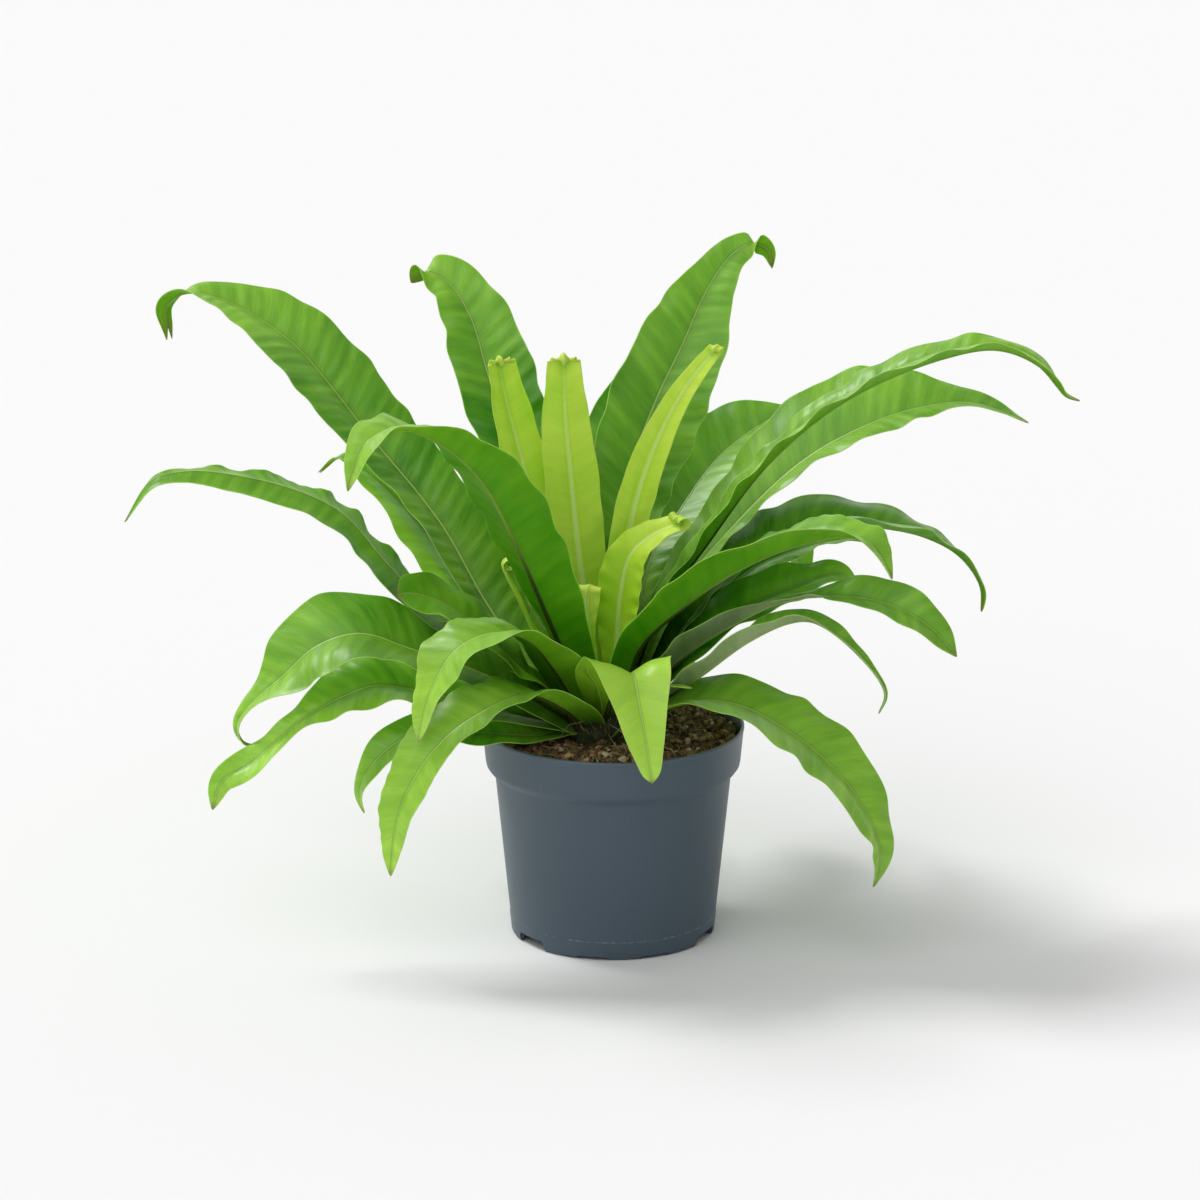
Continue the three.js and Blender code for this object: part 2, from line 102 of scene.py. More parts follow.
deselect_all()
bpy.ops.mesh.primitive_circle_add(vertices=POT_SIDES, radius=PAD_RADIUS, fill_type="NOTHING")
pot = bpy.context.object
bpy.ops.object.mode_set(mode="EDIT")
radius, height = PAD_RADIUS, 0
for ring_radius, ring_height in POT_RINGS:
    next_radius, next_height = ring_radius * MM, ring_height * MM
    bpy.ops.mesh.extrude_edges_move(
        TRANSFORM_OT_translate={"value": (0, 0, next_height - height)}
    )
    growth = next_radius / radius
    bpy.ops.transform.resize(value=(growth, growth, 1))
    radius, height = next_radius, next_height
bpy.ops.mesh.select_all(action="DESELECT")
bpy.ops.mesh.select_non_manifold()
bpy.ops.mesh.fill_holes(sides=0)
bpy.ops.mesh.select_all(action="SELECT")
bpy.ops.mesh.normals_make_consistent(inside=False)
bpy.ops.object.mode_set(mode="OBJECT")
apply_modifier(
    pot, "BEVEL", width=0.25 * MM, segments=2, limit_method="ANGLE", angle_limit=SHARP_ANGLE
)

DRAIN_BEARINGS = [-144, -24, 96]
STEP_OFFSET = 18
FOOT_RADIUS = 51.4
FLOOR_HOLES = 6
HOLE_CIRCLE = 40
HOLE_RADIUS = 4 * MM


def cut_foot(bearing, width, rise, rounding):
    angle = math.radians(bearing)
    place = Vector((math.cos(angle), math.sin(angle), 0)) * FOOT_RADIUS * MM
    bpy.ops.mesh.primitive_cube_add(size=1, location=place, rotation=(0, 0, angle))
    cutter = bpy.context.object
    cutter.scale = (8 * MM, width * MM, 2 * rise * MM)
    bpy.ops.object.transform_apply(location=True, rotation=True, scale=True)
    apply_modifier(cutter, "BEVEL", width=rounding * MM, segments=4)
    apply_modifier(pot, "BOOLEAN", operation="DIFFERENCE", solver="EXACT", object=cutter)
    bpy.data.objects.remove(cutter)


for drain in DRAIN_BEARINGS:
    cut_foot(drain, 20, 5, 2.2)
    cut_foot(drain + 60 - STEP_OFFSET, 15, 1.3, 0.5)
    cut_foot(drain + 60 + STEP_OFFSET, 15, 1.3, 0.5)
for i in range(FLOOR_HOLES):
    angle = math.radians(360 / FLOOR_HOLES * i)
    place = Vector((math.cos(angle), math.sin(angle), 0)) * HOLE_CIRCLE * MM
    place += Vector((0, 0, 6 * MM))
    bpy.ops.mesh.primitive_cylinder_add(
        vertices=20, radius=HOLE_RADIUS, depth=2 * HOLE_RADIUS, location=place
    )
    cutter = bpy.context.object
    apply_modifier(pot, "BOOLEAN", operation="DIFFERENCE", solver="EXACT", object=cutter)
    bpy.data.objects.remove(cutter)
select_only(pot)
bpy.ops.object.shade_smooth_by_angle(angle=SHARP_ANGLE)


def new_material(name):
    material = bpy.data.materials.new(name)
    material.use_nodes = True
    return material, material.node_tree, material.node_tree.nodes["Principled BSDF"]


def node(tree, kind, inputs=(), **settings):
    made = tree.nodes.new("ShaderNode" + kind)
    for name, value in settings.items():
        setattr(made, name, value)
    for key, value in dict(inputs).items():
        if isinstance(value, bpy.types.NodeSocket):
            tree.links.new(value, made.inputs[key])
        else:
            made.inputs[key].default_value = value
    return made


def maths(tree, operation, *values):
    return node(tree, "Math", enumerate(values), operation=operation).outputs[0]


def between(tree, value, low, high, start=0.0, end=1.0):
    inputs = {0: value, 1: low, 2: high, 3: start, 4: end}
    made = node(tree, "MapRange", inputs, interpolation_type="SMOOTHSTEP", clamp=True)
    return made.outputs[0]


def mixed(tree, share, first, second, mode="MIX"):
    made = node(tree, "Mix", {0: share, 6: first, 7: second}, data_type="RGBA", blend_type=mode)
    return made.outputs[2]


def noisy(tree, vector, scale, detail=2.0, roughness=0.5):
    inputs = {"Vector": vector, "Scale": scale, "Detail": detail, "Roughness": roughness}
    return node(tree, "TexNoise", inputs).outputs[0]


def bumped(tree, shader, relief, distance, strength=1.0):
    bump = node(tree, "Bump", {"Height": relief, "Distance": distance, "Strength": strength})
    tree.links.new(bump.outputs[0], shader.inputs["Normal"])


slate, tree, shader = new_material("slate_plastic")
place = node(tree, "TexCoord").outputs["Object"]
height_up = node(tree, "SeparateXYZ", {0: place}).outputs[2]
clouds = noisy(tree, place, 14, 3)
grain = noisy(tree, place, 1600, 2)
scuffs = noisy(tree, node(tree, "Mapping", {0: place, 3: (1, 1, 0.15)}).outputs[0], 260, 4, 0.7)
specks = node(tree, "TexVoronoi", {"Vector": place, "Scale": 130.0, "Randomness": 1.0})
speck_size = noisy(tree, place, 55, 1)
dust = between(tree, maths(tree, "ADD", specks.outputs[0], speck_size), 0.335, 0.375, 1, 0)
# Painted highlight: the top of the lip is painted lighter, where the light catches it.
lip_highlight = between(tree, height_up, 0.1062, 0.1078)
# Painted highlight: a broken pale line along the small ledge above the foot, where it catches the
# light.
from_ridge = maths(tree, "ABSOLUTE", maths(tree, "SUBTRACT", height_up, 0.0094))
ridge_line = between(tree, from_ridge, 0.0001, 0.0004, 1, 0)
foot_ridge_highlight = maths(tree, "MULTIPLY", ridge_line, between(tree, scuffs, 0.48, 0.6))
colour = mixed(tree, clouds, (0.05, 0.08, 0.108, 1), (0.066, 0.1, 0.133, 1))
colour = mixed(tree, between(tree, scuffs, 0.62, 0.8, 0, 0.25), colour, (0.15, 0.18, 0.2, 1))
colour = mixed(tree, maths(tree, "MULTIPLY", lip_highlight, 0.22), colour, (0.16, 0.2, 0.23, 1))
colour = mixed(tree, maths(tree, "MULTIPLY", foot_ridge_highlight, 0.3), colour, (0.35, 0.4, 0.42, 1))
colour = mixed(tree, maths(tree, "MULTIPLY", dust, 0.6), colour, (0.5, 0.5, 0.46, 1))
tree.links.new(colour, shader.inputs["Base Color"])
tree.links.new(between(tree, clouds, 0.3, 0.7, 0.4, 0.5), shader.inputs["Roughness"])
bumped(tree, shader, maths(tree, "ADD", grain, maths(tree, "MULTIPLY", scuffs, 0.6)), 0.00012, 0.6)
pot.data.materials.append(slate)
hand_over(pot, "pot_shell", "pot", "pot")

# The peat: dark moist peat with coir and bark crumbs, pressed in by hand to a little under the lip
# and lumpy on top. Pale straws lie in it and stick out of it.
PEAT_RADIUS = 61.6 * MM
PEAT_EDGE = 99 * MM
PEAT_CELLS = 150
CRUMBS = 420
STRAWS = 150
STRAW_STEPS = 6


def peat_height(x, y):
    here = Vector((x, y, 0))
    away = here.length
    lumps = noise.fractal(here * 95, 0.9, 2.1, 3)
    grit = noise.noise(here * 420 + Vector((3, 7, 1)))
    rise = 1.2 * MM * max(0.0, 1 - away / (48 * MM))
    edge = max(0.0, away - 55 * MM) / (7 * MM)
    return 103.6 * MM + rise + (3.2 * lumps + 0.9 * grit) * MM - 1.6 * MM * edge * edge


deselect_all()
bpy.ops.mesh.primitive_grid_add(x_subdivisions=PEAT_CELLS, y_subdivisions=PEAT_CELLS, size=2)
peat = bpy.context.object
for vertex in peat.data.vertices:
    across, along = vertex.co.x, vertex.co.y
    x = PEAT_RADIUS * across * math.sqrt(1 - along * along / 2)
    y = PEAT_RADIUS * along * math.sqrt(1 - across * across / 2)
    vertex.co = (x, y, peat_height(x, y))
bpy.ops.object.mode_set(mode="EDIT")
bpy.ops.mesh.select_all(action="DESELECT")
bpy.ops.mesh.select_non_manifold()
radius, height = PEAT_RADIUS, PEAT_EDGE
for ring_radius, ring_height in [(61.3, 90), (57.2, 83), (49.7, 7.4)]:
    bpy.ops.mesh.extrude_edges_move(
        TRANSFORM_OT_translate={"value": (0, 0, ring_height * MM - height)}
    )
    growth = ring_radius * MM / radius
    bpy.ops.transform.resize(value=(growth, growth, 1), center_override=(0, 0, ring_height * MM))
    radius, height = ring_radius * MM, ring_height * MM
bpy.ops.mesh.edge_face_add()
bpy.ops.mesh.select_all(action="SELECT")
bpy.ops.mesh.normals_make_consistent(inside=False)
bpy.ops.object.mode_set(mode="OBJECT")
bpy.ops.object.shade_smooth()

peat_earth, tree, shader = new_material("moist_peat")
place = node(tree, "TexCoord").outputs["Object"]
clods = noisy(tree, place, 160, 4, 0.65)
crumbs = noisy(tree, place, 900, 3, 0.7)
damp, dry = (0.02, 0.012, 0.006, 1), (0.3, 0.18, 0.085, 1)
colour = mixed(tree, between(tree, clods, 0.35, 0.65), damp, dry)
colour = mixed(tree, between(tree, crumbs, 0.5, 0.72, 0, 0.8), colour, (0.45, 0.3, 0.16, 1))
tree.links.new(colour, shader.inputs["Base Color"])
shader.inputs["Roughness"].default_value = 0.92
shader.inputs["Specular IOR Level"].default_value = 0.25
bumped(tree, shader, maths(tree, "ADD", crumbs, clods), 0.0009)
peat.data.materials.append(peat_earth)
hand_over(peat, "peat_bed", "soil", "soil")

chance = random.Random(11)
crumb_mesh = bmesh.new()
for _ in range(CRUMBS):
    away = PEAT_RADIUS * 0.985 * math.sqrt(chance.random())
    bearing = chance.uniform(0, math.tau)
    x, y = away * math.cos(bearing), away * math.sin(bearing)
    size = chance.choice([0.8, 1.1, 1.5, 2.1, 2.9]) * MM
    made = bmesh.ops.create_icosphere(crumb_mesh, subdivisions=1, radius=size)
    stretch = Vector((chance.uniform(0.7, 1.5), chance.uniform(0.6, 1.1), chance.uniform(0.5, 0.9)))
    turn = Matrix.Rotation(chance.uniform(0, math.tau), 3, "Z") @ Matrix.Rotation(
        chance.uniform(-0.6, 0.6), 3, "X")
    centre = Vector((x, y, peat_height(x, y) + 0.3 * size))
    for vertex in made["verts"]:
        ragged = 1 + 0.35 * noise.noise(vertex.co / size * 1.4 + centre * 900)
        vertex.co = centre + turn @ Vector(a * b for a, b in zip(vertex.co, stretch)) * ragged
crumb_data = bpy.data.meshes.new("peat_crumbs")
crumb_mesh.to_mesh(crumb_data)
crumb_mesh.free()
crumb_piece = bpy.data.objects.new("peat_crumbs", crumb_data)
bpy.context.scene.collection.objects.link(crumb_piece)
bark, tree, shader = new_material("bark_crumbs")
place = node(tree, "TexCoord").outputs["Object"]
fleck = noisy(tree, place, 330, 2)
dark_bark, light_bark = (0.07, 0.038, 0.017, 1), (0.5, 0.3, 0.14, 1)
colour = mixed(tree, between(tree, fleck, 0.38, 0.62), dark_bark, light_bark)
pale_spots = between(tree, noisy(tree, place, 210, 0), 0.66, 0.7)
colour = mixed(tree, pale_spots, colour, (0.6, 0.5, 0.36, 1))
tree.links.new(colour, shader.inputs["Base Color"])
shader.inputs["Roughness"].default_value = 0.88
bumped(tree, shader, noisy(tree, place, 1500, 3), 0.0004)
crumb_data.materials.append(bark)
hand_over(crumb_piece, "peat_crumbs", "soil")


def tube_along(mesh, points, radii, sides=5, flat=1.0, lean=0.0):
    rings = []
    for i, point in enumerate(points):
        ahead = points[min(i + 1, len(points) - 1)] - points[max(i - 1, 0)]
        turn = ahead.to_track_quat("Z", "Y").to_matrix() @ Matrix.Rotation(lean, 3, "Z")
        ring = []
        for k in range(sides):
            angle = math.tau * k / sides
            offset = Vector((math.cos(angle) * radii[i], math.sin(angle) * radii[i] * flat, 0))
            ring.append(mesh.verts.new(point + turn @ offset))
        rings.append(ring)
    for low, high in zip(rings, rings[1:]):
        for k in range(sides):
            mesh.faces.new((low[k], low[(k + 1) % sides], high[(k + 1) % sides], high[k]))
    mesh.faces.new(rings[0][::-1])
    mesh.faces.new(rings[-1])


def piece_of(mesh, name):
    data = bpy.data.meshes.new(name)
    mesh.to_mesh(data)
    mesh.free()
    data.polygons.foreach_set("use_smooth", [True] * len(data.polygons))
    piece = bpy.data.objects.new(name, data)
    bpy.context.scene.collection.objects.link(piece)
    return piece


straw_mesh = bmesh.new()
for i in range(STRAWS):
    away = PEAT_RADIUS * 0.97 * math.sqrt(chance.random())
    bearing = chance.uniform(0, math.tau)
    start = Vector((away * math.cos(bearing), away * math.sin(bearing), 0))
    length = chance.uniform(5, 17) * MM
    heading = chance.uniform(0, math.tau)
    climb = chance.uniform(0.0, 0.25) if i % 6 else chance.uniform(0.5, 1.1)
    sway = chance.uniform(-1.2, 1.2)
    points = []
    for k in range(STRAW_STEPS + 1):
        share = k / STRAW_STEPS
        heading_here = heading + sway * share
        step = Vector((math.cos(heading_here), math.sin(heading_here), 0)) * length / STRAW_STEPS
        start = start + step
        if start.length > PEAT_RADIUS * 0.985:
            start = start.normalized() * PEAT_RADIUS * 0.985
        lift = climb * length * share * (1.2 - 0.4 * share) + 0.3 * MM
        points.append(Vector((start.x, start.y, peat_height(start.x, start.y) + lift)))
    thick = chance.uniform(0.16, 0.38) * MM
    radii = [thick * (1 - 0.5 * k / STRAW_STEPS) for k in range(STRAW_STEPS + 1)]
    tube_along(straw_mesh, points, radii)
straws = piece_of(straw_mesh, "peat_straws")
straw, tree, shader = new_material("dry_straw")
place = node(tree, "TexCoord").outputs["Object"]
age = between(tree, noisy(tree, place, 45, 1), 0.35, 0.65)
colour = mixed(tree, age, (0.25, 0.14, 0.06, 1), (0.7, 0.54, 0.32, 1))
tree.links.new(colour, shader.inputs["Base Color"])
shader.inputs["Roughness"].default_value = 0.7
bumped(tree, shader, noisy(tree, place, 2500, 2), 0.0001)
straws.data.materials.append(straw)
hand_over(straws, "peat_straws", "soil")

# The crown: the short upright rhizome, hidden under the bases of old and new fronds and clothed in
# thin brown scales. Everything grows out of it.
CROWN_CENTRE = Vector((-5, 0, 104)) * MM
CROWN_RADIUS = 23 * MM
CROWN_FOOT = 99 * MM
SCALES = 230
SCALE_STEPS = 4
deselect_all()
bpy.ops.mesh.primitive_uv_sphere_add(
    segments=72, ring_count=36, radius=CROWN_RADIUS, location=CROWN_CENTRE
)
crown = bpy.context.object
bpy.ops.object.transform_apply(location=True, rotation=True, scale=True)
bpy.ops.object.mode_set(mode="EDIT")
bpy.ops.mesh.select_all(action="SELECT")
bpy.ops.mesh.bisect(
    plane_co=(0, 0, CROWN_FOOT), plane_no=(0, 0, 1), use_fill=True, clear_inner=True, threshold=1e-6
)
bpy.ops.object.mode_set(mode="OBJECT")
for vertex in crown.data.vertices:
    if vertex.co.z > 99.5 * MM:
        out = (vertex.co - CROWN_CENTRE).normalized()
        vertex.co += out * MM * 1.4 * noise.fractal(vertex.co * 170, 0.8, 2.2, 3)
bpy.ops.object.shade_smooth()
rhizome, tree, shader = new_material("rhizome")
place = node(tree, "TexCoord").outputs["Object"]
rough_bark = noisy(tree, place, 240, 4, 0.7)
brown, green = (0.012, 0.012, 0.005, 1), (0.05, 0.075, 0.018, 1)
colour = mixed(tree, between(tree, rough_bark, 0.35, 0.65), brown, green)
tree.links.new(colour, shader.inputs["Base Color"])
shader.inputs["Roughness"].default_value = 0.8
bumped(tree, shader, rough_bark, 0.001)
crown.data.materials.append(rhizome)
hand_over(crown, "crown_rhizome", "crown", "crown")


def outwards(bearing, rise):
    level = math.cos(rise)
    return Vector((math.cos(bearing) * level, math.sin(bearing) * level, math.sin(rise)))


scale_mesh = bmesh.new()
for _ in range(SCALES):
    bearing = chance.uniform(0, math.tau)
    rise = math.asin(chance.uniform(0.0, 0.95))
    out = outwards(bearing, rise)
    start = CROWN_CENTRE + out * CROWN_RADIUS * 0.97
    if start.z < 101 * MM:
        continue
    length = chance.uniform(4, 9.5) * MM
    lean = Vector((chance.uniform(-0.4, 0.4), chance.uniform(-0.4, 0.4), 0.9))
    upward = (out * 0.55 + lean).normalized()
    bow = out * chance.uniform(-0.1, 0.3)
    points = []
    for k in range(SCALE_STEPS + 1):
        share = k / SCALE_STEPS
        points.append(start + (upward * k / SCALE_STEPS + bow * share**2) * length)
    thick = chance.uniform(0.3, 0.75) * MM
    radii = [thick * 0.7, thick, thick * 0.8, thick * 0.45, thick * 0.1]
    tube_along(scale_mesh, points, radii, sides=4, flat=0.25, lean=chance.uniform(0, 3))
scales = piece_of(scale_mesh, "crown_scales")
chaff, tree, shader = new_material("brown_scales")
place = node(tree, "TexCoord").outputs["Object"]
age = between(tree, noisy(tree, place, 130, 1), 0.35, 0.65)
colour = mixed(tree, age, (0.05, 0.025, 0.012, 1), (0.4, 0.3, 0.17, 1))
tree.links.new(colour, shader.inputs["Base Color"])
shader.inputs["Roughness"].default_value = 0.6
scales.data.materials.append(chaff)
hand_over(scales, "crown_scales", "crown")

# The fronds: undivided leathery straps that unroll from the crown, each with a stout midrib, fine
# side veins and a thin waved margin. The upper side is glossy and the underside duller, with a dark
# keel. Each is drawn along points of its own midrib, in millimetres.
BLADE_COLUMNS = [0, 0.035, 0.1, 0.2, 0.32, 0.45, 0.58, 0.7, 0.81, 0.9, 0.965, 1]
ROW_SPACING = 2.3 * MM
FROND_ROOT = 4 * MM
BLADE_THICKNESS = 0.42 * MM
RIB_THICKNESS = 1.5 * MM
FULL_THICKNESS = BLADE_THICKNESS + RIB_THICKNESS
RIDGE_SPACING = 8.3 * MM
FINE_STEPS = 30
MATURE = [0.4, 0.66, 0.88, 1, 0.98, 0.82, 0.5, 0.1]
YOUNG = [0.3, 0.6, 0.95, 1, 0.9, 0.68]


def stepped(values, share):
    place = share * (len(values) - 1)
    i = min(int(place), len(values) - 2)
    blend = place - i
    blend = blend * blend * (3 - 2 * blend)
    return values[i] * (1 - blend) + values[i + 1] * blend


def flowing(values, share):
    place = share * (len(values) - 1)
    i = min(int(place), len(values) - 2)
    w = place - i
    near, far = values[i], values[i + 1]
    leave = (far - values[i - 1]) / 2 if i else far - near
    arrive = (values[i + 2] - near) / 2 if i + 2 < len(values) else far - near
    return (near * (2 * w**3 - 3 * w**2 + 1) + leave * (w**3 - 2 * w**2 + w)
            + far * (3 * w**2 - 2 * w**3) + arrive * (w**3 - w**2))


def ease(value, low, high):
    share = min(max((value - low) / (high - low), 0.0), 1.0)
    return share * share * (3 - 2 * share)


def midrib_through(knots, spacing):
    ends = [2 * knots[0] - knots[1], *knots, 2 * knots[-1] - knots[-2]]
    fine = []
    for before, near, far, after in zip(ends, ends[1:], ends[2:], ends[3:]):
        gap = [(b - a).length ** 0.5 for a, b in ((before, near), (near, far), (far, after))]
        leave = ((near - before) / gap[0] - (far - before) / (gap[0] + gap[1])
                 + (far - near) / gap[1])
        arrive = ((far - near) / gap[1] - (after - near) / (gap[1] + gap[2])
                  + (after - far) / gap[2])
        for i in range(FINE_STEPS):
            w = i / FINE_STEPS
            fine.append(near * (2 * w**3 - 3 * w**2 + 1) + leave * gap[1] * (w**3 - 2 * w**2 + w)
                        + far * (3 * w**2 - 2 * w**3) + arrive * gap[1] * (w**3 - w**2))
    fine.append(knots[-1])
    lengths = [0.0]
    for a, b in zip(fine, fine[1:]):
        lengths.append(lengths[-1] + (b - a).length)
    count = max(round(lengths[-1] / spacing), 24)
    points, k = [], 0
    for i in range(count + 1):
        target = lengths[-1] * i / count
        while k < len(lengths) - 2 and lengths[k + 1] < target:
            k += 1
        share = (target - lengths[k]) / (lengths[k + 1] - lengths[k])
        points.append(fine[k].lerp(fine[k + 1], min(share, 1.0)))
    return points


def coil_from(tip, ahead, inward, radius, turn, closing, spacing):
    count = max(int(radius * (1 - closing / 2) * math.radians(turn) / spacing), 12)
    centre = tip + inward * radius
    rows = []
    for i in range(1, count + 1):
        share = i / count
        angle = math.radians(turn) * share
        reach = radius * (1 - closing * share)
        point = centre - inward * reach * math.cos(angle) + ahead * reach * math.sin(angle)
        rows.append((point, ahead * math.cos(angle) + inward * math.sin(angle)))
    return rows


frond_count = 0


def grow_frond(node_name, seat, along, width, looks, outline=MATURE, facing=None, roll=(0, 0),
               fold=22, wave=1.6, wave_length=29, ripple=0.45, crimp=(0, 0), fork=0.0, coil=None,
               tone=(0.4, 0.4), sides=((1, 1), (1, 1)), slot="frond", rib=1.0):
    global frond_count
    frond_count += 1
    seed = frond_count * 7.31
    waves = wave if isinstance(wave, tuple) else (wave, wave)
    bearing, rise = (math.radians(value) for value in seat)
    root = CROWN_CENTRE + outwards(bearing, rise) * (CROWN_RADIUS - FROND_ROOT)
    knots = [root] + [Vector(point) * MM for point in along]
    points = midrib_through(knots, ROW_SPACING)
    last = len(points) - 1
    turned_away = math.radians(seat[0] if facing is None else facing)
    level = Vector((-math.sin(turned_away), math.cos(turned_away), 0))
    spine = []
    for i, point in enumerate(points):
        ahead = (points[min(i + 1, last)] - points[max(i - 1, 0)]).normalized()
        spine.append((point, ahead, i / last))
    if coil:
        point, ahead, _ = spine[-1]
        inward = ahead.cross(level).normalized()
        spacing = ROW_SPACING * 0.45
        radius, turn, closing = coil
        for step in coil_from(point, ahead, inward, radius * MM, turn, closing, spacing):
            spine.append((*step, 1.0))
    rows = len(spine) - 1
    columns = 2 * (len(BLADE_COLUMNS) - 1)

    deselect_all()
    bpy.ops.mesh.primitive_grid_add(x_subdivisions=columns, y_subdivisions=rows, size=2)
    blade = bpy.context.object
    mesh = blade.data
    travelled = [0.0]
    for a, b in zip(spine, spine[1:]):
        travelled.append(travelled[-1] + (b[0] - a[0]).length)
    length = travelled[last]
    rib_weights = []
    across_size, along_size, across_share, along_share = [], [], [], []
    for vertex in mesh.vertices:
        row = round((vertex.co.y + 1) / 2 * rows)
        column = round(-vertex.co.x * (columns / 2))
        hand = -1 if column < 0 else 1
        share_out = BLADE_COLUMNS[abs(column)]
        point, ahead, share = spine[row]
        went = travelled[row]
        side = (level - ahead * level.dot(ahead)).normalized()
        side.rotate(Matrix.Rotation(math.radians(stepped(roll, share)), 3, ahead))
        face = ahead.cross(side).normalized()
        curled = max(0, row - last) / max(1, rows - last)
        which = 0 if hand < 0 else 1
        half = width / 2 * MM * max(flowing(outline, share), 0.02)
        half *= flowing(sides[which], share)
        half *= 1 - 0.45 * curled
        if not coil and not fork:
            half *= math.sin(math.pi / 2 * min(1.0, (1.0001 - share) / 0.05)) ** 0.6
        start = ease(share, 0.1, 0.32) * (1 - 0.6 * ease(share, 0.9, 1)) * (1 - curled)
        room = min(1.0, half / (11 * MM))
        phase = math.tau * went / (wave_length * MM) + seed + hand * 1.3
        wander = 3.2 * noise.noise(Vector((went * 28, seed, hand)))
        lively = 0.55 + 1.1 * abs(noise.noise(Vector((went * 21, seed + 2, hand * 3))))
        wave_here = waves[which]
        lift = wave_here * MM * start * room * lively * math.sin(phase + wander) * share_out**2.2
        slant = went - 0.5 * half * share_out
        swell = 0.6 + noise.noise(Vector((slant * 40, seed + 5, hand * 2)))
        uneven = 1.5 * noise.noise(Vector((slant * 60, seed, 3)))
        ridges = math.sin(math.tau * slant / RIDGE_SPACING + uneven)
        inside = ease(share_out, 0.06, 0.3) * (1 - share_out**6)
        lift += ripple * MM * start * room * swell * ridges * inside
        broad = noise.noise(Vector((slant * 52, share_out * 1.6 * hand, seed + 9)))
        lift += 1.1 * MM * start * room * broad * ease(share_out, 0.1, 0.5)
        ruffle = 1 + 0.03 * wave_here * start * lively * math.sin(phase + 1.9 + wander)
        ruffle += 0.03 * start * noise.noise(Vector((went * 110, seed, hand + 4)))
        reach = half * share_out * ruffle
        drift = 2.5 * noise.noise(Vector((went * 45, seed, hand)))
        scallop = abs(math.sin(went / MM * 0.42 + drift))
        reach += crimp[which] * MM * start * room * (scallop - 0.6) * share_out**3
        angle = math.radians(stepped(fold, share) if isinstance(fold, list) else fold)
        angle *= 1 - 0.35 * ease(share_out, 0.3, 1)
        back = 0.0
        if fork and share > 0.93:
            back = fork * MM * ease(share, 0.93, 1) * (1 - 2 * abs(share_out - 0.5))
        vertex.co = (point + ahead * back + side * hand * reach * math.cos(angle)
                     + face * (reach * math.sin(angle) + lift))
        thin_out = 1 - 0.75 * ease(share, 0.1, 0.85)
        bead = math.exp(-((reach / (0.95 * MM)) ** 2)) * thin_out * rib * (1 - 0.6 * curled)
        rib_weights.append((BLADE_THICKNESS + RIB_THICKNESS * bead) / FULL_THICKNESS)
        across_size.append(hand * reach * 10 + 0.5)
        along_size.append(went * 10)
        across_share.append(0.5 + 0.5 * hand * share_out)
        along_share.append(went / length)

    shares = ("shares", across_share, along_share)
    for layer_name, first, second in (shares, ("sizes", across_size, along_size)):
        layer = mesh.uv_layers.new(name=layer_name)
        for loop in mesh.loops:
            layer.data[loop.index].uv = (first[loop.vertex_index], second[loop.vertex_index])
    group = blade.vertex_groups.new(name="rib")
    for vertex, weight in zip(mesh.vertices, rib_weights):
        group.add([vertex.index], weight, "REPLACE")
    for material in looks:
        mesh.materials.append(material)
    apply_modifier(
        blade, "SOLIDIFY", thickness=FULL_THICKNESS, offset=-1, vertex_group="rib",
        material_offset=1, material_offset_rim=0, use_quality_normals=True,
    )
    apply_modifier(blade, "SUBSURF", levels=1, render_levels=1)
    select_only(blade)
    bpy.ops.object.shade_smooth()
    tones = mesh.attributes.new("tone", "FLOAT", "POINT")
    share_of = {}
    shares_layer = mesh.uv_layers["shares"].data
    for loop in mesh.loops:
        share_of[loop.vertex_index] = shares_layer[loop.index].uv.y
    for i in range(len(mesh.vertices)):
        tones.data[i].value = stepped(tone, min(share_of.get(i, 0), 1.0))
    hand_over(blade, node_name + "_blade", slot, node_name)


